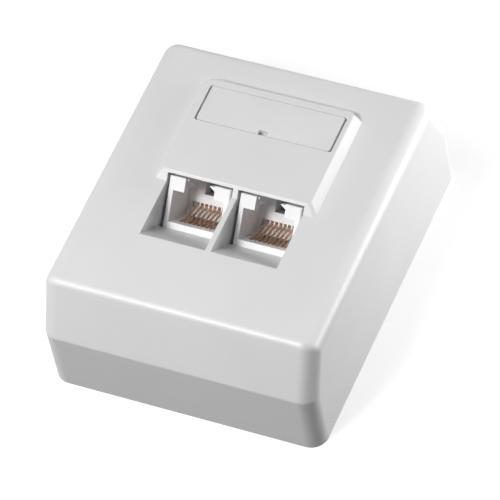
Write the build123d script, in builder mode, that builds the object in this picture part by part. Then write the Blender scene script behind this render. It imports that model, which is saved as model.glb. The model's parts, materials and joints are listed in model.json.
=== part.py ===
from build123d import *
from math import cos, radians, sin, tan
import os

# Two-port surface mount jack box. It lies on its back as it sits on a wall: +Z points out of the
# wall, the ports face -Y and +Z, and the origin is the middle of the base's underside.

# Housing: vertical sides, end walls that stand upright and then lean in to the top face
width = 64.0
length = 80.0
body_height = 29.7
bend_height = 16.4
end_lean = 6.0
wall = 2.0
side_radius = 3.8
end_radius = 1.9
bend_radius = 1.2

# Ports: two notches of V section; the sockets' faces and the notch floors stand at right angles
port_tilt = 47.0
port_y = -8.8
notch_depth = 7.7
opening_width = 15.4
divider = 1.25
well_wall = 1.5
well_reach = 2.5
floor_gap = 0.3

# Raised hood over the sockets: its front and flanks slope like the sockets, its rear is upright
hood_rise = 1.9
face_recess = 0.35
hood_half_width = 18.95
hood_rear_y = 25.9
hood_edge_radius = 0.45
hood_corner_radius = 1.35

# Label recess and its window
label_y = 18.95
label_length = 31.5
label_height = 9.6
label_corner = 0.6
end_gap = 0.45
edge_gap = 0.12
window_plate = 1.0
window_skirt = 0.6
skirt_wall = 0.8
lift_notch_width = 2.2
lift_notch_reach = 1.2
lift_notch_corner = 0.5
bump_width = 3.2
strip_thickness = 0.2
strip_gap = 0.3

# Socket housing, measured on its face
socket_width = 14.4
socket_height = 11.5
socket_depth = 13.5
socket_foot = 1.2
roof_gap = 0.6
rim_height = 1.4
plug_width = 12.0
plug_height = 7.05
plug_depth = 10.0
latch_width = 6.9
latch_pocket_width = 9.0
latch_pocket_height = 2.3
shoulder_depth = 2.2
gusset_width = 1.3
gusset_height = 0.9
gusset_drop = 0.3
guide_front = 0.9
guide_length = 4.3
guide_top = 0.1
guide_fall = 1.9
guide_thickness = 0.45
guide_reach = 0.4
rear_slot_width = 4.8
rear_slot_drop = 1.6
peg_radius = 1.2
peg_spacing = 9.6
peg_depth = 5.4
peg_length = 1.5
peg_gap = 0.1
core_width = 9.0
core_height = 3.0
core_depth = 1.2
mouth_chamfer = 0.25

# Spring contacts
contact_count = 8
contact_pitch = 1.016
wire = 0.45
wire_gap = 0.08
wire_level = 0.1
wire_front = 2.85
wire_nose_height = 1.3
wire_rise_angle = 22.2
wire_tip_depth = 10.4
wire_bend = 0.25
tail_depth = 9.6
tail_stagger = 2.54
comb_width = 10.0
comb_bottom = 3.2
comb_height = 1.6
comb_depth = 1.2
comb_tooth = 0.3
insert_width = 9.4
insert_front = 2.4
insert_top = 0.55
insert_gap = 0.08

# Circuit board under the sockets
board_thickness = 1.6
board_front = 1.2
board_rear = 23.6
board_corner = 1.0
board_head_gap = 0.675
board_edge_gap = 0.2
tail_below = 1.1
tail_hole_radius = 0.42
hole_sides = 8

# Insulation displacement terminals: two rows of four for each port
block_width = 13.2
block_front = 14.7
block_length = 8.5
block_rise = 9.0
terminal_columns = 4
terminal_pitch = 3.1
row_spacing = 4.3
wire_slot = 1.0
wire_slot_depth = 4.6
trough_width = 1.5
trough_depth = 2.6
blade_width = 2.3
blade_thickness = 0.5
blade_gap = 0.06
block_chamfer = 0.45
blade_mouth = 0.35
blade_drop = 0.7
blade_foot = 1.4
pin_width = 0.6
pin_hole_radius = 0.5

# Base plate
base_gap = 0.25
base_floor = 2.2
rim_wall = 1.4
rim_top = 6.5
wall_slot_inset = 10.0
wall_slot_width = 4.4
wall_slot_length = 8.0
entry_x = 15.0
entry_inset = 8.8
entry_width = 12.0
entry_length = 8.0
entry_corner = 2.0
hook_x = 15.0
hook_width = 8.0
hook_reach = 0.85
hook_bottom = 3.0
hook_height = 2.0
hook_gap = 0.25

# Cover screw, its pillar in the cover and its boss on the base
cover_screw_radius = 1.5
cover_head_radius = 2.9
cover_head_height = 2.1
head_sink = 2.8
head_gap = 0.4
shank_gap = 0.3
pilot_gap = 0.05
pillar_wall = 1.2
pillar_end = 15.9
boss_radius = 3.4
pillar_gap = 0.2
cover_screw_length = 20.0

# Carrier that holds the board at the ports' tilt
cheek_web = 2.0
flange_thickness = 1.6
cheek_front = 0.8
foot_gap = 0.4
foot_y = -6.0
foot_radius = 3.4
foot_thickness = 2.0
foot_level = 5.4
board_screw_depth = 18.0
board_boss_radius = 2.3
board_boss_length = 4.3
small_screw_radius = 1.1
small_head_radius = 2.0
small_head_height = 1.3
small_screw_length = 5.6

# Screws: few-sided, as there are nine, with sizes as shares of the head's radius, the head's
# height or the shank's radius
head_sides = 24
shank_sides = 12
cross_length = 1.1
cross_thickness = 0.28
cross_depth = 0.6
screw_point = 0.6

# Cable clamps
clamp_inset = 8.6
clamp_span = 13.2
clamp_length = 5.2
clamp_end_radius = 1.3
clamp_thickness = 1.6
clamp_arch_radius = 3.4
clamp_boss_radius = 2.5
clamp_level = 6.2

# Knock-out for a surface cable, in the rear wall
knock_width = 14.0
knock_height = 9.0
knock_groove = 0.5
knock_groove_depth = 0.4
knock_thinning = 0.9

# Places worked out from the sizes above
hood_top = body_height + hood_rise
label_floor = hood_top - window_plate - window_skirt
port_z = body_height - notch_depth
port_pitch = opening_width + divider
well_half_width = opening_width + divider / 2 + well_wall
tilt_sin = sin(radians(port_tilt))
tilt_cos = cos(radians(port_tilt))
hood_front_y = port_y + notch_depth / tan(radians(port_tilt)) - face_recess / tilt_sin
shoulder_level = rim_height + plug_height
socket_opening_height = socket_height + roof_gap
wire_tip_height = wire_nose_height + (wire_tip_depth - wire_front) * tan(radians(wire_rise_angle))
board_top = -socket_foot
board_bottom = board_top - board_thickness
tail_end = board_bottom - tail_below
block_top = board_top + block_rise
block_middle = block_front + block_length / 2
inner_half_width = width / 2 - wall - base_gap
inner_half_length = length / 2 - wall - base_gap
wall_slot_y = length / 2 - wall_slot_inset
entry_y = length / 2 - entry_inset
clamp_y = entry_y - clamp_inset
board_screw_x = (port_pitch + block_width) / 2 + board_head_gap + small_head_radius
cheek_outer = board_screw_x + small_head_radius + board_edge_gap
cheek_flange = 2 * (cheek_outer - board_screw_x)
foot_x = cheek_outer - cheek_web - foot_gap - foot_radius
port_sides = (("left", -port_pitch / 2), ("right", port_pitch / 2))


def port_face(x=0.0, out=0.0):
    """Plane of a socket's face: local X across the box, local Y up the face, Z out of the port."""
    origin = (x, port_y - out * tilt_sin, port_z + out * tilt_cos)
    return Plane(origin=origin, x_dir=(1, 0, 0), z_dir=(0, -tilt_sin, tilt_cos))


def port_side(x=0.0):
    """Plane across a port: local X runs in from the face, local Y up the face, Z along +X."""
    return Plane(origin=(x, port_y, port_z), x_dir=(0, tilt_sin, -tilt_cos), z_dir=(1, 0, 0))


def board_face(height):
    """Plane along the board at a height: local X across the box, local Y in from the ports."""
    origin = (0, port_y + height * tilt_cos, port_z + height * tilt_sin)
    return Plane(origin=origin, x_dir=(1, 0, 0), z_dir=(0, tilt_cos, tilt_sin))


def board_seat(x, depth, height):
    """A seat on the board's slope for a screw or a boss, square to the board."""
    along = board_face(height)
    return Plane(origin=along.from_local_coords((x, depth, 0)), x_dir=along.x_dir, z_dir=along.z_dir)


def contact_places():
    """Each contact's place across its port, with the depth of its tail."""
    first = -contact_pitch * (contact_count - 1) / 2
    return [
        (first + i * contact_pitch, tail_depth + (i % 2) * tail_stagger)
        for i in range(contact_count)
    ]


def column_x(column):
    """A column of terminals' place across its port."""
    return (column - (terminal_columns - 1) / 2) * terminal_pitch


def terminal_places():
    """Each terminal's place across its port, with its depth."""
    return [
        (column_x(column), block_middle + row * row_spacing / 2)
        for row in (-1, 1)
        for column in range(terminal_columns)
    ]


def housing_form(margin):
    """The housing's rounded outer form, or the same form drawn in by a margin."""
    half = length / 2
    with BuildPart() as form:
        with BuildSketch(Plane.YZ):
            with BuildLine():
                Polyline(
                    (-half, -margin),
                    (-half, bend_height),
                    (-half + end_lean, body_height),
                    (half - end_lean, body_height),
                    (half, bend_height),
                    (half, -margin),
                    close=True,
                )
            make_face()
            if margin:
                offset(amount=-margin, kind=Kind.INTERSECTION)
        extrude(amount=width / 2 - margin, both=True)
        base_edges = form.faces().sort_by(Axis.Z)[0].edges()
        side_edges = form.faces().filter_by(Axis.X).edges()
        fillet([edge for edge in side_edges if edge not in base_edges], side_radius - margin)
        if not margin:
            fillet(form.edges().filter_by(Axis.X).group_by(Axis.Z)[-1], end_radius)
            low, high = bend_height - bend_radius, bend_height + bend_radius
            bends = form.edges().filter_by(Axis.X).filter_by_position(Axis.Z, low, high)
            fillet(bends, bend_radius)
    return form.part


def hood_form():
    """The raised hood: a pad whose front and flanks slope at the ports' tilt."""
    slope_run = hood_rise / tan(radians(port_tilt))
    with BuildPart() as hood:
        with BuildSketch(Plane.XY.offset(body_height)):
            with Locations((0, (hood_front_y + hood_rear_y + slope_run) / 2)):
                Rectangle(2 * hood_half_width, hood_rear_y + slope_run - hood_front_y)
        extrude(amount=hood_rise, taper=90 - port_tilt)
        # The rear slope is cut away
        with BuildSketch(Plane.XY.offset(body_height)):
            with Locations((0, hood_rear_y + slope_run)):
                Rectangle(width, 2 * slope_run)
        extrude(amount=hood_rise, mode=Mode.SUBTRACT)
        foot = hood.faces().sort_by(Axis.Z)[0]
        top = hood.faces().sort_by(Axis.Z)[-1]
        level_edges = foot.edges() + top.edges()
        fillet([edge for edge in hood.edges() if edge not in level_edges], hood_corner_radius)
        fillet(hood.faces().sort_by(Axis.Z)[-1].edges(), hood_edge_radius)
    return hood.part


def port_slab(out_low, out_high, up_low, up_high, half_width, x=0.0):
    """A block square to the ports, given by its reach along the port's own directions."""
    with BuildPart() as slab:
        with BuildSketch(port_face(x, out_low)):
            with Locations((0, (up_low + up_high) / 2)):
                Rectangle(2 * half_width, up_high - up_low)
        extrude(amount=out_high - out_low)
    return slab.part


os.makedirs("parts", exist_ok=True)

# Cover: one moulded shell with the hood, the label recess and the two port notches
outer_form = housing_form(0)
inner_form = housing_form(wall)
raised_hood = hood_form()
far = 2 * body_height
recess_front_y = label_y - label_height / 2 - edge_gap
core_rear_y = recess_front_y - wall
core_front_y = hood_front_y + 2 * wall
with BuildPart() as well_block:
    add(outer_form)
    add(raised_hood)
    add(port_slab(-well_reach, far, -well_wall, far, well_half_width), mode=Mode.INTERSECT)

with BuildPart() as cover:
    add(outer_form)
    add(raised_hood)
    add(inner_form, mode=Mode.SUBTRACT)
    # Coring under the hood keeps its roof as thick as the walls
    with BuildSketch(Plane.XY.offset(body_height - wall)):
        with Locations((0, (core_front_y + core_rear_y) / 2)):
            Rectangle(2 * (hood_half_width - 2 * wall), core_rear_y - core_front_y)
    extrude(amount=hood_rise, mode=Mode.SUBTRACT)
    # The sockets' bodies reach up into the hood
    add(
        port_slab(-socket_depth - wall, 0, -socket_foot, socket_opening_height, well_half_width - well_wall),
        mode=Mode.SUBTRACT,
    )
    add(well_block.part)
    for side, port_x in port_sides:
        add(
            port_slab(-socket_depth, far, 0, socket_opening_height, opening_width / 2, port_x),
            mode=Mode.SUBTRACT,
        )
    # The notch floor stops just short of the sockets' faces
    add(port_slab(-socket_depth, floor_gap, -2 * well_wall, 0, well_half_width + wall), mode=Mode.SUBTRACT)
    # Label recess
    with BuildSketch(Plane.XY.offset(hood_top)):
        with Locations((0, label_y)):
            RectangleRounded(label_length + 2 * end_gap, label_height + 2 * edge_gap, label_corner)
    extrude(amount=label_floor - hood_top, mode=Mode.SUBTRACT)
    # Pillar for the cover screw, with its head sunk below the label
    with BuildSketch(Plane.XY.offset(pillar_end)):
        with Locations((0, label_y)):
            Circle(cover_head_radius + head_gap + pillar_wall)
    extrude(amount=label_floor - pillar_end)
    with Locations((0, label_y, label_floor)):
        CounterBoreHole(cover_screw_radius + shank_gap, cover_head_radius + head_gap, head_sink)
    # Pockets in the front wall for the base plate's hooks
    with BuildSketch(Plane.XZ.offset(length / 2 - wall)):
        with Locations((-hook_x, hook_bottom + hook_height / 2), (hook_x, hook_bottom + hook_height / 2)):
            Rectangle(hook_width + 2 * hook_gap, hook_height + 2 * hook_gap)
    extrude(amount=hook_reach + hook_gap - base_gap, mode=Mode.SUBTRACT)
    # Knock-out for a surface cable: a thinned panel inside a fine groove in the rear wall
    with BuildSketch(Plane.XZ.offset(-length / 2)):
        with Locations((0, 0)):
            Rectangle(knock_width, 2 * knock_height)
            Rectangle(knock_width - 2 * knock_groove, 2 * (knock_height - knock_groove), mode=Mode.SUBTRACT)
    extrude(amount=knock_groove_depth, mode=Mode.SUBTRACT)
    with BuildSketch(Plane.XZ.offset(-length / 2 + wall)):
        Rectangle(knock_width, 2 * knock_height)
    extrude(amount=-knock_thinning, mode=Mode.SUBTRACT)

cover.part.label = "cover"

# Label window: a clear plate on a short skirt, with a notch for a screwdriver's tip
with BuildPart() as label_window:
    with BuildSketch(Plane.XY.offset(label_floor)):
        with Locations((0, label_y)):
            RectangleRounded(label_length, label_height, label_corner)
    extrude(amount=window_skirt + window_plate)
    with BuildSketch(Plane.XY.offset(label_floor)):
        with Locations((0, label_y)):
            Rectangle(label_length - 2 * skirt_wall, label_height - 2 * skirt_wall)
    extrude(amount=window_skirt, mode=Mode.SUBTRACT)
    with BuildSketch(Plane.XY.offset(hood_top)):
        with Locations((0, label_y - label_height / 2)):
            RectangleRounded(lift_notch_width, 2 * lift_notch_reach, lift_notch_corner)
    extrude(amount=-window_plate, mode=Mode.SUBTRACT)
    # A bump at each end bears on the recess wall
    with BuildSketch(Plane.XY.offset(label_floor)):
        with Locations((-label_length / 2, label_y), (label_length / 2, label_y)):
            SlotOverall(bump_width, 2 * (end_gap - edge_gap), rotation=90)
    extrude(amount=window_skirt)
label_window.part.label = "label_window"

# Paper label strip, lying in the window's skirt
with BuildPart() as label_strip:
    with BuildSketch(Plane.XY.offset(label_floor)):
        with Locations((0, label_y)):
            Rectangle(
                label_length - 2 * (skirt_wall + strip_gap),
                label_height - 2 * (skirt_wall + strip_gap),
            )
    extrude(amount=strip_thickness)
label_strip.part.label = "label_strip"


def screw(place, shank_radius, shank_length, head_radius, head_height):
    """A screw with a cross recess, its head's seat on the place's origin, pointing down its Z."""
    along = Axis(place.origin, place.z_dir)
    cross_wide = head_radius * cross_length
    cross_thin = head_radius * cross_thickness
    with BuildPart() as fastener:
        with BuildSketch(place):
            RegularPolygon(head_radius, head_sides)
        extrude(amount=head_height)
        chamfer(fastener.faces().sort_by(along)[-1].edges(), head_height / 2)
        with BuildSketch(place):
            RegularPolygon(shank_radius, shank_sides)
        extrude(amount=-shank_length)
        chamfer(fastener.faces().sort_by(along)[0].edges(), shank_radius * screw_point)
        with BuildSketch(place.offset(head_height)):
            Rectangle(cross_wide, cross_thin)
            Rectangle(cross_thin, cross_wide)
        extrude(amount=-head_height * cross_depth, mode=Mode.SUBTRACT)
    return fastener.part


# Cover screw, under the label
cover_screw_seat = Plane(origin=(0, label_y, label_floor - head_sink))
with BuildPart() as cover_screw:
    add(screw(cover_screw_seat, cover_screw_radius, cover_screw_length, cover_head_radius, cover_head_height))
cover_screw.part.label = "cover_screw"

# Base plate: a tray with wall slots, cable entries, bosses and hooks
foot_spots = [(-foot_x, foot_y), (foot_x, foot_y)]
clamp_spots = [
    (sign * entry_x + end * clamp_span / 2, clamp_y)
    for sign in (-1, 1)
    for end in (-1, 1)
]
base_corner = side_radius - wall - base_gap
with BuildPart() as base_plate:
    with BuildSketch():
        RectangleRounded(2 * inner_half_width, 2 * inner_half_length, base_corner)
    extrude(amount=rim_top)
    with BuildSketch(Plane.XY.offset(base_floor)):
        Rectangle(2 * (inner_half_width - rim_wall), 2 * (inner_half_length - rim_wall))
    extrude(amount=rim_top, mode=Mode.SUBTRACT)
    with BuildSketch(Plane.XY.offset(base_floor)):
        with Locations((0, label_y)):
            Circle(boss_radius)
    extrude(amount=pillar_end - pillar_gap - base_floor)
    with BuildSketch(Plane.XY.offset(base_floor)):
        with Locations(*foot_spots):
            Circle(foot_radius)
    extrude(amount=foot_level - base_floor)
    with BuildSketch(Plane.XY.offset(base_floor)):
        with Locations(*clamp_spots):
            Circle(clamp_boss_radius)
    extrude(amount=clamp_level - base_floor)
    # Hooks that hold the cover's front wall
    with BuildSketch(Plane.XZ.offset(inner_half_length)):
        with Locations((-hook_x, hook_bottom + hook_height / 2), (hook_x, hook_bottom + hook_height / 2)):
            Rectangle(hook_width, hook_height)
    extrude(amount=hook_reach)
    with Locations((0, label_y, pillar_end - pillar_gap)):
        Hole(cover_screw_radius + pilot_gap, depth=pillar_end - pillar_gap - base_floor)
    with Locations(*[(x, y, foot_level) for x, y in foot_spots]):
        Hole(small_screw_radius + pilot_gap, depth=foot_level - base_floor / 2)
    with Locations(*[(x, y, clamp_level) for x, y in clamp_spots]):
        Hole(small_screw_radius + pilot_gap, depth=clamp_level - base_floor / 2)
    # The rim is open behind the knock-out
    with BuildSketch(Plane.XY.offset(base_floor)):
        with Locations((0, inner_half_length)):
            Rectangle(knock_width, 2 * rim_wall)
    extrude(amount=rim_top, mode=Mode.SUBTRACT)
    with BuildSketch():
        with Locations((0, -wall_slot_y), (0, wall_slot_y)):
            SlotOverall(wall_slot_length, wall_slot_width, rotation=90)
        with Locations((-entry_x, entry_y), (entry_x, entry_y)):
            RectangleRounded(entry_width, entry_length, entry_corner)
    extrude(amount=base_floor, mode=Mode.SUBTRACT)
base_plate.part.label = "base_plate"

# Board carrier: two sloping cheeks with flanges under the board, joined by a bridge with two feet
board_screw_spots = [(-board_screw_x, board_screw_depth), (board_screw_x, board_screw_depth)]
cheek_top_front = board_face(board_bottom).from_local_coords((0, cheek_front, 0))
cheek_top_rear = board_face(board_bottom).from_local_coords((0, board_rear, 0))
with BuildPart() as board_carrier:
    for sign in (-1, 1):
        with BuildSketch(Plane.YZ.offset(sign * (cheek_outer - cheek_web / 2))):
            with BuildLine():
                Polyline(
                    (cheek_top_front.Y, cheek_top_front.Z),
                    (cheek_top_rear.Y, cheek_top_rear.Z),
                    (cheek_top_rear.Y, base_floor),
                    (cheek_top_front.Y, base_floor),
                    close=True,
                )
            make_face()
        extrude(amount=cheek_web / 2, both=True)
        with BuildSketch(board_face(board_bottom)):
            with Locations((sign * board_screw_x, (cheek_front + board_rear) / 2)):
                Rectangle(cheek_flange, board_rear - cheek_front)
        extrude(amount=-flange_thickness)
    for x, depth in board_screw_spots:
        with BuildSketch(board_seat(x, depth, board_bottom)):
            Circle(board_boss_radius)
        extrude(amount=-board_boss_length)
    with BuildSketch(Plane.XY.offset(foot_level)):
        with Locations((0, foot_y)):
            Rectangle(2 * cheek_outer - cheek_web, 2 * foot_radius)
    extrude(amount=foot_thickness)
    with Locations(*[(x, y, foot_level + foot_thickness) for x, y in foot_spots]):
        Hole(small_screw_radius + shank_gap, depth=foot_thickness)
    for x, depth in board_screw_spots:
        with Locations(board_seat(x, depth, board_bottom)):
            Hole(small_screw_radius + pilot_gap, depth=board_boss_length)
board_carrier.part.label = "board_carrier"

# Circuit board, with holes for the tails, the terminals' pins, the sockets' pegs and two screws
with BuildPart() as circuit_board:
    with BuildSketch(board_face(board_bottom)):
        with Locations((0, (board_front + board_rear) / 2)):
            RectangleRounded(2 * cheek_outer, board_rear - board_front, board_corner)
        for side, port_x in port_sides:
            with Locations(*[(port_x + x, depth) for x, depth in contact_places()]):
                RegularPolygon(tail_hole_radius, hole_sides, mode=Mode.SUBTRACT)
            with Locations(*[(port_x + x, depth) for x, depth in terminal_places()]):
                RegularPolygon(pin_hole_radius, hole_sides, mode=Mode.SUBTRACT)
            with Locations(*[(port_x + end * peg_spacing / 2, peg_depth) for end in (-1, 1)]):
                Circle(peg_radius + peg_gap, mode=Mode.SUBTRACT)
        with Locations(*board_screw_spots):
            Circle(small_screw_radius + shank_gap, mode=Mode.SUBTRACT)
    extrude(amount=board_thickness)
circuit_board.part.label = "circuit_board"


def jack_housing(port_x):
    """Socket moulding: a plug cavity with a latch channel between two shoulders."""
    face = port_face(port_x)
    guide_level = socket_height - guide_top
    gusset_inner = latch_width / 2 - gusset_width
    gusset_level = socket_height - gusset_drop
    with BuildPart() as housing:
        with BuildSketch(face):
            with Locations((0, (socket_height - socket_foot) / 2)):
                Rectangle(socket_width, socket_height + socket_foot)
        extrude(amount=-socket_depth)
        chamfer(housing.faces().sort_by(Axis(face.origin, face.z_dir))[-1].edges(), mouth_chamfer)
        with BuildSketch(face):
            with Locations((0, rim_height + plug_height / 2)):
                Rectangle(plug_width, plug_height)
        extrude(amount=-plug_depth, mode=Mode.SUBTRACT)
        # Latch channel, open above, widening behind the shoulders
        with BuildSketch(face):
            with Locations((0, socket_height)):
                Rectangle(latch_width, 2 * (socket_height - shoulder_level))
        extrude(amount=-plug_depth, mode=Mode.SUBTRACT)
        with BuildSketch(face.offset(-shoulder_depth)):
            with Locations((0, shoulder_level)):
                Rectangle(latch_pocket_width, 2 * latch_pocket_height)
        extrude(amount=shoulder_depth - plug_depth, mode=Mode.SUBTRACT)
        # Guides on the channel's walls that slope down into the socket
        with BuildSketch(port_side(port_x)):
            with BuildLine():
                Polyline(
                    (guide_front, guide_level),
                    (guide_front + guide_length, guide_level - guide_fall),
                    (guide_front + guide_length, guide_level - guide_fall - guide_thickness),
                    (guide_front, guide_level - guide_thickness),
                    close=True,
                )
            make_face()
        extrude(amount=latch_pocket_width / 2, both=True)
        with BuildSketch(face):
            with Locations((0, socket_height)):
                Rectangle(latch_width - 2 * guide_reach, 2 * (socket_height - shoulder_level))
        extrude(amount=-plug_depth, mode=Mode.SUBTRACT)
        # A gusset in the channel's upper right corner
        with BuildSketch(face):
            with BuildLine():
                Polyline(
                    (latch_width / 2, socket_height - mouth_chamfer),
                    (gusset_inner, socket_height - mouth_chamfer),
                    (gusset_inner, gusset_level),
                    (latch_width / 2, gusset_level - gusset_height),
                    close=True,
                )
            make_face()
        extrude(amount=-shoulder_depth)
        # Slot through the back wall, behind the latch
        with BuildSketch(face.offset(-plug_depth)):
            with Locations((0, socket_height)):
                Rectangle(rear_slot_width, 2 * (socket_height - shoulder_level + rear_slot_drop))
        extrude(amount=plug_depth - socket_depth, mode=Mode.SUBTRACT)
        # Bay for the contact insert, open below and behind
        with BuildSketch(port_side(port_x)):
            with Locations((socket_depth, -socket_foot)):
                Rectangle(2 * (socket_depth - insert_front), 2 * (rim_height + socket_foot))
        extrude(amount=insert_width / 2, both=True, mode=Mode.SUBTRACT)
        # Comb in the back wall, with teeth that part the contacts' tips
        with BuildSketch(face.offset(-plug_depth)):
            with Locations((0, comb_bottom + comb_height / 2)):
                Rectangle(comb_width, comb_height)
                with GridLocations(contact_pitch, 0, contact_count - 1, 1):
                    Rectangle(comb_tooth, comb_height, mode=Mode.SUBTRACT)
        extrude(amount=-comb_depth, mode=Mode.SUBTRACT)
        # Coring behind the comb
        with BuildSketch(face.offset(-socket_depth)):
            with Locations((0, comb_bottom + comb_height / 2)):
                Rectangle(core_width, core_height)
        extrude(amount=core_depth, mode=Mode.SUBTRACT)
        # Pegs into the board
        with BuildSketch(board_face(board_top)):
            with Locations(*[(port_x + end * peg_spacing / 2, peg_depth) for end in (-1, 1)]):
                Circle(peg_radius)
        extrude(amount=-peg_length)
    return housing.part


def contact_insert(port_x):
    """Moulded block under the plug cavity, with a groove and a tail hole for each contact."""
    half_slot = wire / 2 + wire_gap
    groove_floor = wire_level - half_slot
    with BuildPart() as insert:
        with BuildSketch(port_side(port_x)):
            with Locations(((insert_front + socket_depth) / 2, (insert_top - socket_foot) / 2)):
                Rectangle(socket_depth - insert_front - 2 * insert_gap, insert_top + socket_foot)
        extrude(amount=insert_width / 2 - insert_gap, both=True)
        for x, tail in contact_places():
            with BuildSketch(port_side(port_x + x)):
                with BuildLine():
                    Polyline(
                        (wire_front - half_slot, groove_floor),
                        (tail - half_slot, groove_floor),
                        (tail - half_slot, -socket_foot),
                        (tail + half_slot, -socket_foot),
                        (tail + half_slot, insert_top),
                        (wire_front - half_slot, insert_top),
                        close=True,
                    )
                make_face()
            extrude(amount=half_slot, both=True, mode=Mode.SUBTRACT)
    return insert.part


def cut_corners(*points):
    """The points of a contact's route, with each bend as two points a little away from the corner."""
    route = [Vector(points[0])]
    for before, corner, after in zip(points, points[1:], points[2:]):
        for end in (before, after):
            route.append(Vector(corner) + (Vector(end) - Vector(corner)).normalized() * wire_bend)
    return route + [Vector(points[-1])]


def contact_set(port_x):
    """Eight sprung contacts: each rises from its tail, runs forward and folds back up into the cavity."""
    with BuildPart() as contacts:
        for x, tail in contact_places():
            with BuildSketch(port_side(port_x + x)):
                with BuildLine():
                    Polyline(
                        *cut_corners(
                            (tail, tail_end),
                            (tail, wire_level),
                            (wire_front, wire_level),
                            (wire_front, wire_nose_height),
                            (wire_tip_depth, wire_tip_height),
                        )
                    )
                trace(line_width=wire)
            extrude(amount=wire / 2, both=True)
    return contacts.part


def terminal_block(port_x):
    """Terminal moulding: four wire slots across two rows of blade pockets, with a trough between."""
    with BuildPart() as block:
        with BuildSketch(board_face(board_top)):
            with Locations((port_x, block_middle)):
                Rectangle(block_width, block_length)
        extrude(amount=block_rise)
        up = board_face(0)
        chamfer(block.faces().sort_by(Axis(up.origin, up.z_dir))[-1].edges(), block_chamfer)
        with BuildSketch(board_face(block_top)):
            with Locations(*[(port_x + column_x(i), block_middle) for i in range(terminal_columns)]):
                Rectangle(wire_slot, block_length)
        extrude(amount=-wire_slot_depth, mode=Mode.SUBTRACT)
        with BuildSketch(board_face(block_top)):
            with Locations((port_x, block_middle)):
                Rectangle(block_width, trough_width)
        extrude(amount=-trough_depth, mode=Mode.SUBTRACT)
        with BuildSketch(board_face(block_top)):
            with Locations(*[(port_x + x, depth) for x, depth in terminal_places()]):
                Rectangle(blade_width + 2 * blade_gap, blade_thickness + 2 * blade_gap)
        extrude(amount=blade_foot - block_rise, mode=Mode.SUBTRACT)
        with BuildSketch(board_face(board_top)):
            with Locations(*[(port_x + x, depth) for x, depth in terminal_places()]):
                Rectangle(pin_width + 2 * blade_gap, blade_thickness + 2 * blade_gap)
        extrude(amount=blade_foot, mode=Mode.SUBTRACT)
    return block.part


def terminal_blades(port_x):
    """Eight forked blades, each with a pin through the board."""
    top = block_top - blade_drop
    foot = board_top + blade_foot
    half = blade_width / 2
    with BuildPart() as blades:
        for x, depth in terminal_places():
            with BuildSketch(port_face(port_x + x, -depth)):
                with BuildLine():
                    right_side = Polyline(
                        (0, foot + blade_foot),
                        (blade_mouth / 2, foot + blade_foot),
                        (blade_mouth / 2, top - blade_mouth),
                        (blade_mouth * 1.5, top),
                        (half - blade_mouth, top),
                        (half, top - blade_mouth),
                        (half, foot),
                        (pin_width / 2, foot),
                        (pin_width / 2, tail_end),
                        (0, tail_end),
                    )
                    mirror(right_side, about=Plane.YZ)
                make_face()
            extrude(amount=blade_thickness / 2, both=True)
    return blades.part


def cable_clamp(clamp_x):
    """Saddle clamp with an arch over the cable, on two bosses."""
    arch_z = base_floor + clamp_arch_radius
    with BuildPart() as clamp:
        with BuildSketch(Plane.XZ.offset(-clamp_y)):
            with Locations((clamp_x, arch_z)):
                Circle(clamp_arch_radius + clamp_thickness)
            with Locations((clamp_x, clamp_level + clamp_thickness / 2)):
                Rectangle(clamp_span + 2 * clamp_boss_radius, clamp_thickness)
            with Locations((clamp_x, clamp_level - body_height / 2)):
                Rectangle(width, body_height, mode=Mode.SUBTRACT)
            with Locations((clamp_x, arch_z)):
                Circle(clamp_arch_radius, mode=Mode.SUBTRACT)
        extrude(amount=clamp_length / 2, both=True)
        fillet(clamp.edges().filter_by(Axis.Z), clamp_end_radius)
        spots = [(clamp_x - clamp_span / 2, clamp_y), (clamp_x + clamp_span / 2, clamp_y)]
        with Locations(*[(x, y, clamp_level + clamp_thickness) for x, y in spots]):
            Hole(small_screw_radius + shank_gap, depth=clamp_thickness)
    return clamp.part


def small_screw(place):
    """One of the small screws that hold the clamps, the carrier and the board."""
    return screw(place, small_screw_radius, small_screw_length, small_head_radius, small_head_height)


for sign, side in ((-1, "left"), (1, "right")):
    port_x = sign * port_pitch / 2
    pieces = {
        "jack_housing": jack_housing(port_x),
        "contact_insert": contact_insert(port_x),
        "contact_set": contact_set(port_x),
        "terminal_block": terminal_block(port_x),
        "terminal_blades": terminal_blades(port_x),
        "cable_clamp": cable_clamp(sign * entry_x),
    }
    for name, piece in pieces.items():
        piece.label = f"{name}_{side}"
        print(piece.label, len(piece.solids()), piece.is_valid, round(piece.volume, 2))
        export_step(piece, f"parts/{name}_{side}.step")

clamp_seats = [Plane(origin=(x, y, clamp_level + clamp_thickness)) for x, y in clamp_spots]
foot_seats = [Plane(origin=(x, y, foot_level + foot_thickness)) for x, y in foot_spots]
board_seats = [board_seat(x, depth, board_top) for x, depth in board_screw_spots]
with BuildPart() as clamp_screws:
    for seat in clamp_seats:
        add(small_screw(seat))
clamp_screws.part.label = "clamp_screws"
with BuildPart() as carrier_screws:
    for seat in foot_seats:
        add(small_screw(seat))
carrier_screws.part.label = "carrier_screws"
with BuildPart() as board_screws:
    for seat in board_seats:
        add(small_screw(seat))
board_screws.part.label = "board_screws"

for piece in (
    cover,
    label_window,
    label_strip,
    cover_screw,
    base_plate,
    board_carrier,
    circuit_board,
    clamp_screws,
    carrier_screws,
    board_screws,
):
    part = piece.part
    print(part.label, len(part.solids()), part.is_valid, round(part.volume, 1))
    export_step(part, f"parts/{part.label}.step")
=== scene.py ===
import json
from math import cos, radians, sin

import bpy
from mathutils import Matrix, Vector

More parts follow.
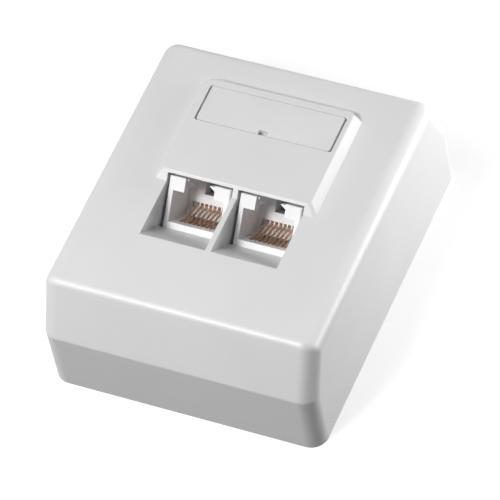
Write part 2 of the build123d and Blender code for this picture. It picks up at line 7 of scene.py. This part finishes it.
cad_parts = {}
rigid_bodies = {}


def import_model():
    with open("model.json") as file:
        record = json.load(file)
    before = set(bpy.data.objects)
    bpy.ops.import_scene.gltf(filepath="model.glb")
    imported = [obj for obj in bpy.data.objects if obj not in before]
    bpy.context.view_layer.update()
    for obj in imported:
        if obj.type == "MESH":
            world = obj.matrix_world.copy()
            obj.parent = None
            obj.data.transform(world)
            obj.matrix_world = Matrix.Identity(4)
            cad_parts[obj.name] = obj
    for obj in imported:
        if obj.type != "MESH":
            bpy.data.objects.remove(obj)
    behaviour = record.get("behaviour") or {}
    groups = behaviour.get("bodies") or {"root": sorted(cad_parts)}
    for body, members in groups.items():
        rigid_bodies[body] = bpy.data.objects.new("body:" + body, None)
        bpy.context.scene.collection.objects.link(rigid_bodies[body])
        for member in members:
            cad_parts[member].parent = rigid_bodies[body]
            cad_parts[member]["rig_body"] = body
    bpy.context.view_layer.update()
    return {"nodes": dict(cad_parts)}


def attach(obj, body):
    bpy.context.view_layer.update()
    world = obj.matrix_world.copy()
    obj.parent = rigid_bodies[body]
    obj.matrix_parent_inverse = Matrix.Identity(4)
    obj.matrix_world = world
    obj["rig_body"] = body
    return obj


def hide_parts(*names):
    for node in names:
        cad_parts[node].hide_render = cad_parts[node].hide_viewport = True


# Looks for the two-port surface mount jack box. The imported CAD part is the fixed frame, in metres:
# +Z points out of the wall, the ports face -Y and +Z, and the left port is at -X.

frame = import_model()
nodes = frame["nodes"]

MM = 0.001

# Ports: each socket's face leans back by the tilt, and its depth runs in from that face
PORT_TILT = radians(47)
PORT_Y = -8.8 * MM
PORT_Z = 22.0 * MM
PORT_PITCH = 16.65 * MM
PORTS = (("left", -PORT_PITCH / 2), ("right", PORT_PITCH / 2))

# Contact wires, in depth behind the socket's face and height up that face
CONTACT_COUNT = 8
CONTACT_PITCH = 1.016 * MM
WIRE_RADIUS = 0.24 * MM
WIRE_LEVEL = 0.1 * MM
WIRE_FRONT = 2.85 * MM
WIRE_NOSE_HEIGHT = 1.3 * MM
WIRE_TIP = (10.4 * MM, 4.38 * MM)
WIRE_BEND = 0.45 * MM
WIRE_ROUNDNESS = 4
WIRE_SMOOTHNESS = 8
TAIL_DEPTH = 9.6 * MM
TAIL_STAGGER = 2.54 * MM
TAIL_END = -3.9 * MM

# Plastics: the melt's flow, the spread of roughness, slow sink waves, grain and softened edges.
# Here and below, noise scales are in cells a metre, and a depth and a strength are a bump's.
PLASTIC_IOR = 1.5
FLOW_SCALE, FLOW_SHADE = 60, 0.965
GLOSS_SCALE, GLOSS_SPREAD = 900, 0.05
SINK_SCALE, SINK_DEPTH, SINK_STRENGTH = 45, 0.02 * MM, 0.5
GRAIN, GRAIN_DEPTH = 0.35 * MM, 0.004 * MM
FINE_GRAIN, FINE_GRAIN_DEPTH = 0.25 * MM, 0.002 * MM
GRAIN_STRENGTH = 1.0
SOFT_EDGE = 0.12 * MM
EDGE_SAMPLES = 6

# Metals: tarnish in patches, drawn scratches that change the roughness, and sharper edges
PATCH_SCALE, PATCH_START, PATCH_END = 700, 0.4, 0.75
SCRATCH_SCALE, SCRATCH_DEPTH, SCRATCH_STRENGTH = 2500, 0.004 * MM, 0.6
SCRATCH_SMOOTHER, SCRATCH_ROUGHER = 0.7, 1.4
METAL_EDGE = 0.04 * MM

# Label paper: fibres drawn out along X
FIBRE_SCALE, FIBRE_TWIST = (1800, 5200, 1800), 1.2
FIBRE_DEPTH, FIBRE_STRENGTH = 0.02 * MM, 0.8
PAPER_DARK, PAPER_LIGHT = (0.84, 0.84, 0.83), (0.90, 0.90, 0.89)
PAPER_ROUGHNESS = 0.85

# Label window: haze in the colour and the gloss, and slow waves
WINDOW_IOR, WINDOW_ALPHA = 1.49, 0.85
HAZE_SCALE, WAVE_SCALE = 120, 90
WINDOW_DARK, WINDOW_LIGHT = (0.84, 0.84, 0.84), (0.87, 0.87, 0.87)
WINDOW_ROUGHNESS = (0.16, 0.24)

# Circuit board: copper tracks and a glass weave under the solder mask
TRACK_SCALE, TRACK_WANDER = 160, 6.0
TRACK_START, TRACK_END = 0.55, 0.62
TRACK_DEPTH, TRACK_STRENGTH = 0.03 * MM, 0.6
WEAVE_SCALE = 1700
MASK_DARK, MASK_LIGHT = (0.012, 0.13, 0.045), (0.016, 0.15, 0.052)
TRACK_GREEN = (0.03, 0.23, 0.07)
BOARD_SCALE, BOARD_ROUGHNESS = 500, (0.28, 0.4)

# Camera: a long lens, right of straight ahead and high, rolled a little. The lens and the sensor
# are in millimetres.
VIEW_AZIMUTH = radians(32.7)
VIEW_ELEVATION = radians(52.4)
VIEW_ROLL = radians(-12.6)
VIEW_DISTANCE = 1.029
LENS = 340.3
SENSOR_WIDTH = 36
AIM_RIGHT = 0.56 * MM
AIM_DOWN = 4.02 * MM
BODY_MIDDLE = Vector((0, 0, 14.85 * MM))

# Floor and world: white where they are seen, and dim in the light that bounces off them. The
# floor's glow grows from near to far over the distances from start to end, as the lamps' light
# falls off.
WHITE = (1.0, 1.0, 1.0)
FLOOR_HALF = 4.0
FLOOR_DROP = 0.02 * MM
FLOOR_SEEN = (0.43, 0.43, 0.43)
FLOOR_BOUNCE = (0.03, 0.03, 0.03)
FLOOR_ROUGHNESS, FLOOR_SPECULAR = 0.9, 0.1
GLOW_NEAR, GLOW_FAR = 0.68, 1.0
GLOW_START, GLOW_END = 0.1, 0.6
BACKGROUND = 1.0
AMBIENT = 0.01

# Lamps: azimuth from -Y towards +X, elevation, distance and size in metres, power in watts
LAMPS = (
    ("key_high", radians(-30), radians(72), 0.6, 0.3, 0.80),
    ("key_main", radians(-22), radians(50), 0.6, 0.12, 2.08),
    ("key_left", radians(-70), radians(48), 0.6, 0.3, 0.9),
    ("key_front", radians(-30), radians(33), 0.6, 0.3, 0.12),
    ("side_front", radians(120), radians(5), 0.2, 0.1, 0.32),
    ("side_rear", radians(140), radians(5), 0.2, 0.1, 0.14),
)


def link(obj):
    bpy.context.scene.collection.objects.link(obj)
    return obj


def direction(azimuth, elevation):
    """The way from the box to a place at that azimuth, turned from -Y towards +X, and elevation."""
    return Vector(
        (sin(azimuth) * cos(elevation), -cos(azimuth) * cos(elevation), sin(elevation))
    )


def port_point(x, depth, height):
    """A point in a port, by its depth behind the socket's face and its height up that face."""
    y = PORT_Y + depth * sin(PORT_TILT) + height * cos(PORT_TILT)
    z = PORT_Z - depth * cos(PORT_TILT) + height * sin(PORT_TILT)
    return Vector((x, y, z))


# Materials

def new_material(name):
    """A material with its node tree and its shader."""
    material = bpy.data.materials.new(name)
    material.use_nodes = True
    tree = material.node_tree
    return material, tree, tree.nodes["Principled BSDF"]


def add_node(tree, kind, **values):
    node = tree.nodes.new(kind)
    for name, value in values.items():
        setattr(node, name, value)
    return node


def noise(tree, scale, detail=2.0, roughness=0.5):
    """Noise in object space, with its scale in cells a metre."""
    place = add_node(tree, "ShaderNodeTexCoord")
    texture = add_node(tree, "ShaderNodeTexNoise")
    texture.inputs["Scale"].default_value = scale
    texture.inputs["Detail"].default_value = detail
    texture.inputs["Roughness"].default_value = roughness
    tree.links.new(place.outputs["Object"], texture.inputs["Vector"])
    return texture.outputs["Fac"]


def remap(tree, value, low, high, start=0.3, end=0.7):
    """Value, from start to end, brought to low to high. Noise lies mostly from 0.3 to 0.7."""
    node = add_node(tree, "ShaderNodeMapRange")
    node.inputs["From Min"].default_value = start
    node.inputs["From Max"].default_value = end
    node.inputs["To Min"].default_value = low
    node.inputs["To Max"].default_value = high
    tree.links.new(value, node.inputs["Value"])
    return node.outputs["Result"]


def mix_colour(tree, fac, first, second):
    """From the first colour at nought to the second at one."""
    node = add_node(tree, "ShaderNodeMix", data_type="RGBA")
    tree.links.new(fac, node.inputs["Factor"])
    for socket, colour in ((node.inputs["A"], first), (node.inputs["B"], second)):
        if isinstance(colour, tuple):
            socket.default_value = (*colour, 1.0)
        else:
            tree.links.new(colour, socket)
    return node.outputs["Result"]


def bump(tree, height, strength, distance, normal=None):
    node = add_node(tree, "ShaderNodeBump")
    node.inputs["Strength"].default_value = strength
    node.inputs["Distance"].default_value = distance
    tree.links.new(height, node.inputs["Height"])
    if normal is not None:
        tree.links.new(normal, node.inputs["Normal"])
    return node.outputs["Normal"]


def rounded_edges(tree, radius):
    node = add_node(tree, "ShaderNodeBevel", samples=EDGE_SAMPLES)
    node.inputs["Radius"].default_value = radius
    return node.outputs["Normal"]


def moulded_plastic(
    name, colour, roughness, grain=GRAIN, grain_depth=GRAIN_DEPTH, edge=SOFT_EDGE
):
    """Moulded plastic: a fine spark-eroded grain, slow waves of sink and flow, softened edges."""
    material, tree, shader = new_material(name)
    darker = tuple(FLOW_SHADE * part for part in colour)
    flow = remap(tree, noise(tree, FLOW_SCALE, detail=3.0), 0, 1)
    tree.links.new(mix_colour(tree, flow, darker, colour), shader.inputs["Base Color"])
    gloss = noise(tree, GLOSS_SCALE, detail=3.0)
    tree.links.new(
        remap(tree, gloss, roughness - GLOSS_SPREAD, roughness + GLOSS_SPREAD),
        shader.inputs["Roughness"],
    )
    shader.inputs["IOR"].default_value = PLASTIC_IOR
    sink = noise(tree, SINK_SCALE, detail=1.0)
    sparks = noise(tree, 1 / grain, detail=2.0, roughness=0.6)
    normal = bump(tree, sink, SINK_STRENGTH, SINK_DEPTH, rounded_edges(tree, edge))
    normal = bump(tree, sparks, GRAIN_STRENGTH, grain_depth, normal)
    tree.links.new(normal, shader.inputs["Normal"])
    return material


def plated_metal(name, colour, tarnish, roughness):
    """Plated metal with tarnish in patches and fine drawn scratches."""
    material, tree, shader = new_material(name)
    patches = noise(tree, PATCH_SCALE, detail=4.0, roughness=0.6)
    patches = remap(tree, patches, 0, 1, PATCH_START, PATCH_END)
    tree.links.new(mix_colour(tree, patches, colour, tarnish), shader.inputs["Base Color"])
    shader.inputs["Metallic"].default_value = 1.0
    scratches = noise(tree, SCRATCH_SCALE, detail=4.0, roughness=0.7)
    gloss = remap(tree, scratches, roughness * SCRATCH_SMOOTHER, roughness * SCRATCH_ROUGHER)
    tree.links.new(gloss, shader.inputs["Roughness"])
    edges = rounded_edges(tree, METAL_EDGE)
    normal = bump(tree, scratches, SCRATCH_STRENGTH, SCRATCH_DEPTH, edges)
    tree.links.new(normal, shader.inputs["Normal"])
    return material


def paper_material():
    """Label paper: short fibres in the colour and in the surface."""
    material, tree, shader = new_material("label_paper")
    place = add_node(tree, "ShaderNodeTexCoord")
    stretch = add_node(tree, "ShaderNodeMapping")
    stretch.inputs["Scale"].default_value = FIBRE_SCALE
    fibres = add_node(tree, "ShaderNodeTexNoise")
    fibres.inputs["Scale"].default_value = 1.0
    fibres.inputs["Detail"].default_value = 5.0
    fibres.inputs["Distortion"].default_value = FIBRE_TWIST
    tree.links.new(place.outputs["Object"], stretch.inputs["Vector"])
    tree.links.new(stretch.outputs["Vector"], fibres.inputs["Vector"])
    tint = remap(tree, fibres.outputs["Fac"], 0, 1)
    tint = mix_colour(tree, tint, PAPER_DARK, PAPER_LIGHT)
    tree.links.new(tint, shader.inputs["Base Color"])
    shader.inputs["Roughness"].default_value = PAPER_ROUGHNESS
    normal = bump(tree, fibres.outputs["Fac"], FIBRE_STRENGTH, FIBRE_DEPTH)
    tree.links.new(normal, shader.inputs["Normal"])
    return material


def window_material():
    """Hazy moulded window: the paper under it hardly shows through, its gloss and its edges do."""
    material, tree, shader = new_material("window_clear")
    haze = noise(tree, HAZE_SCALE)
    tint = mix_colour(tree, remap(tree, haze, 0, 1), WINDOW_DARK, WINDOW_LIGHT)
    tree.links.new(tint, shader.inputs["Base Color"])
    tree.links.new(remap(tree, haze, *WINDOW_ROUGHNESS), shader.inputs["Roughness"])
    shader.inputs["IOR"].default_value = WINDOW_IOR
    shader.inputs["Alpha"].default_value = WINDOW_ALPHA
    waves = noise(tree, WAVE_SCALE)
    normal = bump(tree, waves, SINK_STRENGTH, SINK_DEPTH, rounded_edges(tree, SOFT_EDGE))
    tree.links.new(normal, shader.inputs["Normal"])
    return material


def board_material():
    """Circuit board: green solder mask over copper tracks, with a glass weave under it."""
    material, tree, shader = new_material("board_green")
    place = add_node(tree, "ShaderNodeTexCoord")
    tracks = add_node(tree, "ShaderNodeTexWave", wave_type="BANDS", bands_direction="X")
    tracks.inputs["Scale"].default_value = TRACK_SCALE
    tracks.inputs["Distortion"].default_value = TRACK_WANDER
    tracks.inputs["Detail"].default_value = 0.0
    tree.links.new(place.outputs["Object"], tracks.inputs["Vector"])
    lines = remap(tree, tracks.outputs["Fac"], 0, 1, TRACK_START, TRACK_END)
    weave = add_node(tree, "ShaderNodeTexChecker")
    weave.inputs["Scale"].default_value = WEAVE_SCALE
    tree.links.new(place.outputs["Object"], weave.inputs["Vector"])
    mask = mix_colour(tree, weave.outputs["Fac"], MASK_DARK, MASK_LIGHT)
    tree.links.new(mix_colour(tree, lines, mask, TRACK_GREEN), shader.inputs["Base Color"])
    gloss = remap(tree, noise(tree, BOARD_SCALE), *BOARD_ROUGHNESS)
    tree.links.new(gloss, shader.inputs["Roughness"])
    tree.links.new(bump(tree, lines, TRACK_STRENGTH, TRACK_DEPTH), shader.inputs["Normal"])
    return material


MATERIALS = {
    "housing_white": moulded_plastic("housing_white", (0.74, 0.74, 0.74), 0.38),
    "base_white": moulded_plastic("base_white", (0.73, 0.73, 0.73), 0.48),
    "socket_white": moulded_plastic(
        "socket_white", (0.88, 0.88, 0.89), 0.34, FINE_GRAIN, FINE_GRAIN_DEPTH, edge=0.1 * MM
    ),
    # Painted shade: the contact inserts are white plastic, coloured a darker, warmer grey here for
    # the shade inside the sockets.
    "insert_white": moulded_plastic(
        "insert_white", (0.70, 0.66, 0.63), 0.36, FINE_GRAIN, FINE_GRAIN_DEPTH, edge=0.06 * MM
    ),
    # Painted shade: the terminal blocks are paler ivory, darkened here for the shade inside the box
    # seen through the slot at each socket's back.
    "terminal_ivory": moulded_plastic("terminal_ivory", (0.62, 0.59, 0.52), 0.4, edge=0.1 * MM),
    "carrier_grey": moulded_plastic("carrier_grey", (0.42, 0.43, 0.44), 0.45),
    "clamp_white": moulded_plastic("clamp_white", (0.80, 0.80, 0.79), 0.4),
    "contact_gold": plated_metal("contact_gold", (0.72, 0.43, 0.26), (0.46, 0.25, 0.15), 0.34),
    "blade_tin": plated_metal("blade_tin", (0.76, 0.76, 0.77), (0.60, 0.60, 0.61), 0.3),
    "screw_steel": plated_metal("screw_steel", (0.70, 0.71, 0.73), (0.60, 0.58, 0.50), 0.32),
    "label_paper": paper_material(),
    "window_clear": window_material(),
    "board_green": board_material(),
}

FINISHES = {
    "cover": "housing_white",
    "label_window": "window_clear",
    "label_strip": "label_paper",
    "cover_screw": "screw_steel",
    "base_plate": "base_white",
    "board_carrier": "carrier_grey",
    "circuit_board": "board_green",
    "clamp_screws": "screw_steel",
    "carrier_screws": "screw_steel",
    "board_screws": "screw_steel",
    "jack_housing": "socket_white",
    "contact_insert": "insert_white",
    "contact_set": "contact_gold",
    "terminal_block": "terminal_ivory",
    "terminal_blades": "blade_tin",
    "cable_clamp": "clamp_white",
}


def dress(obj, finish):
    obj.data.materials.clear()
    obj.data.materials.append(MATERIALS[finish])


for name, node in nodes.items():
    kind = name.removesuffix("_left").removesuffix("_right")
    dress(node, FINISHES[kind])


# Contacts: drawn wire with true round bends, in place of the plain CAD ones

def bent(route):
    """The route's points, with one more on each side of every corner, so that the wire bends."""
    points = [route[0]]
    for before, corner, after in zip(route, route[1:], route[2:]):
        points.append(corner.lerp(before, WIRE_BEND / (before - corner).length))
        points.append(corner)
        points.append(corner.lerp(after, WIRE_BEND / (after - corner).length))
    return points + [route[-1]]


def wire_route(x, tail):
    """One wire from its tail in the board, along the floor and round the nose to its tip."""
    corners = (
        (tail, TAIL_END),
        (tail, WIRE_LEVEL),
        (WIRE_FRONT, WIRE_LEVEL),
        (WIRE_FRONT, WIRE_NOSE_HEIGHT),
        WIRE_TIP,
    )
    return bent([port_point(x, depth, height) for depth, height in corners])


def add_spline(curve, route):
    spline = curve.splines.new("NURBS")
    spline.points.add(len(route) - 1)
    for point, place in zip(spline.points, route):
        point.co = (*place, 1.0)
    spline.order_u = 3
    spline.use_endpoint_u = True


def contact_wires(side, port_x):
    """A socket's eight wires, their tails in two rows, in place of its contact set."""
    curve = bpy.data.curves.new(f"contact_wires_{side}", "CURVE")
    curve.dimensions = "3D"
    curve.bevel_depth = WIRE_RADIUS
    curve.bevel_resolution = WIRE_ROUNDNESS
    curve.resolution_u = WIRE_SMOOTHNESS
    curve.use_fill_caps = True
    first = port_x - CONTACT_PITCH * (CONTACT_COUNT - 1) / 2
    for i in range(CONTACT_COUNT):
        tail = TAIL_DEPTH + (i % 2) * TAIL_STAGGER
        add_spline(curve, wire_route(first + i * CONTACT_PITCH, tail))
    wires = link(bpy.data.objects.new(f"contact_wires_{side}", curve))
    dress(wires, "contact_gold")
    replaced = "contact_set_" + side
    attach(wires, nodes[replaced]["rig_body"])
    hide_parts(replaced)


for side, port_x in PORTS:
    contact_wires(side, port_x)


# Camera

def make_camera():
    """The camera looks at a point just beside and below the box's middle."""
    back = direction(VIEW_AZIMUTH, VIEW_ELEVATION)
    level_right = Vector((cos(VIEW_AZIMUTH), sin(VIEW_AZIMUTH), 0))
    level_up = back.cross(level_right)
    right = cos(VIEW_ROLL) * level_right + sin(VIEW_ROLL) * level_up
    up = cos(VIEW_ROLL) * level_up - sin(VIEW_ROLL) * level_right
    aim = BODY_MIDDLE + AIM_RIGHT * right - AIM_DOWN * up
    camera = link(bpy.data.objects.new("camera", bpy.data.cameras.new("camera")))
    camera.data.lens = LENS
    camera.data.sensor_width = SENSOR_WIDTH
    turn = Matrix((right, up, back)).transposed().to_4x4()
    camera.matrix_world = Matrix.Translation(aim + VIEW_DISTANCE * back) @ turn
    bpy.context.scene.camera = camera


# Floor, world and lamps

def seen_directly(tree):
    """One for the camera's, glossy and transmitted rays, and nought for the light that bounces."""
    path = add_node(tree, "ShaderNodeLightPath")
    seen = path.outputs["Is Camera Ray"]
    for other in ("Is Glossy Ray", "Is Transmission Ray"):
        either = add_node(tree, "ShaderNodeMath", operation="MAXIMUM")
        tree.links.new(seen, either.inputs[0])
        tree.links.new(path.outputs[other], either.inputs[1])
        seen = either.outputs["Value"]
    return seen


def floor_glow(tree, seen):
    """The floor's glow, only where it is seen."""
    place = add_node(tree, "ShaderNodeTexCoord")
    away = add_node(tree, "ShaderNodeVectorMath", operation="LENGTH")
    tree.links.new(place.outputs["Object"], away.inputs[0])
    glow = add_node(tree, "ShaderNodeMath", operation="MULTIPLY")
    tree.links.new(seen, glow.inputs[0])
    reach = remap(tree, away.outputs["Value"], GLOW_NEAR, GLOW_FAR, GLOW_START, GLOW_END)
    tree.links.new(reach, glow.inputs[1])
    return glow.outputs["Value"]


def floor_material():
    """A matt floor, white where it is seen, that still takes the box's shadow."""
    material, tree, shader = new_material("floor")
    seen = seen_directly(tree)
    tree.links.new(mix_colour(tree, seen, FLOOR_BOUNCE, FLOOR_SEEN), shader.inputs["Base Color"])
    shader.inputs["Roughness"].default_value = FLOOR_ROUGHNESS
    shader.inputs["Specular IOR Level"].default_value = FLOOR_SPECULAR
    shader.inputs["Emission Color"].default_value = (*WHITE, 1.0)
    tree.links.new(floor_glow(tree, seen), shader.inputs["Emission Strength"])
    return material


def make_floor():
    corners = [(-1, -1), (1, -1), (1, 1), (-1, 1)]
    mesh = bpy.data.meshes.new("floor")
    mesh.from_pydata([(FLOOR_HALF * x, FLOOR_HALF * y, 0) for x, y in corners], [], [(0, 1, 2, 3)])
    mesh.materials.append(floor_material())
    floor = link(bpy.data.objects.new("floor", mesh))
    floor.location.z = -FLOOR_DROP


def make_world():
    """A white world to look at, which lights the box only faintly."""
    world = bpy.data.worlds.new("world")
    bpy.context.scene.world = world
    world.use_nodes = True
    tree = world.node_tree
    background = tree.nodes["Background"]
    background.inputs["Color"].default_value = (*WHITE, 1.0)
    strength = remap(tree, seen_directly(tree), AMBIENT, BACKGROUND, 0, 1)
    tree.links.new(strength, background.inputs["Strength"])


def make_lamp(name, azimuth, elevation, distance, size, power):
    """A square soft light that faces the box."""
    light = bpy.data.lights.new(name, "AREA")
    light.size = size
    light.energy = power
    outward = direction(azimuth, elevation)
    lamp = link(bpy.data.objects.new(name, light))
    lamp.location = BODY_MIDDLE + distance * outward
    lamp.rotation_euler = outward.to_track_quat("Z", "Y").to_euler()


make_camera()
make_floor()
make_world()
for lamp in LAMPS:
    make_lamp(*lamp)

bpy.context.scene.view_settings.view_transform = "Standard"
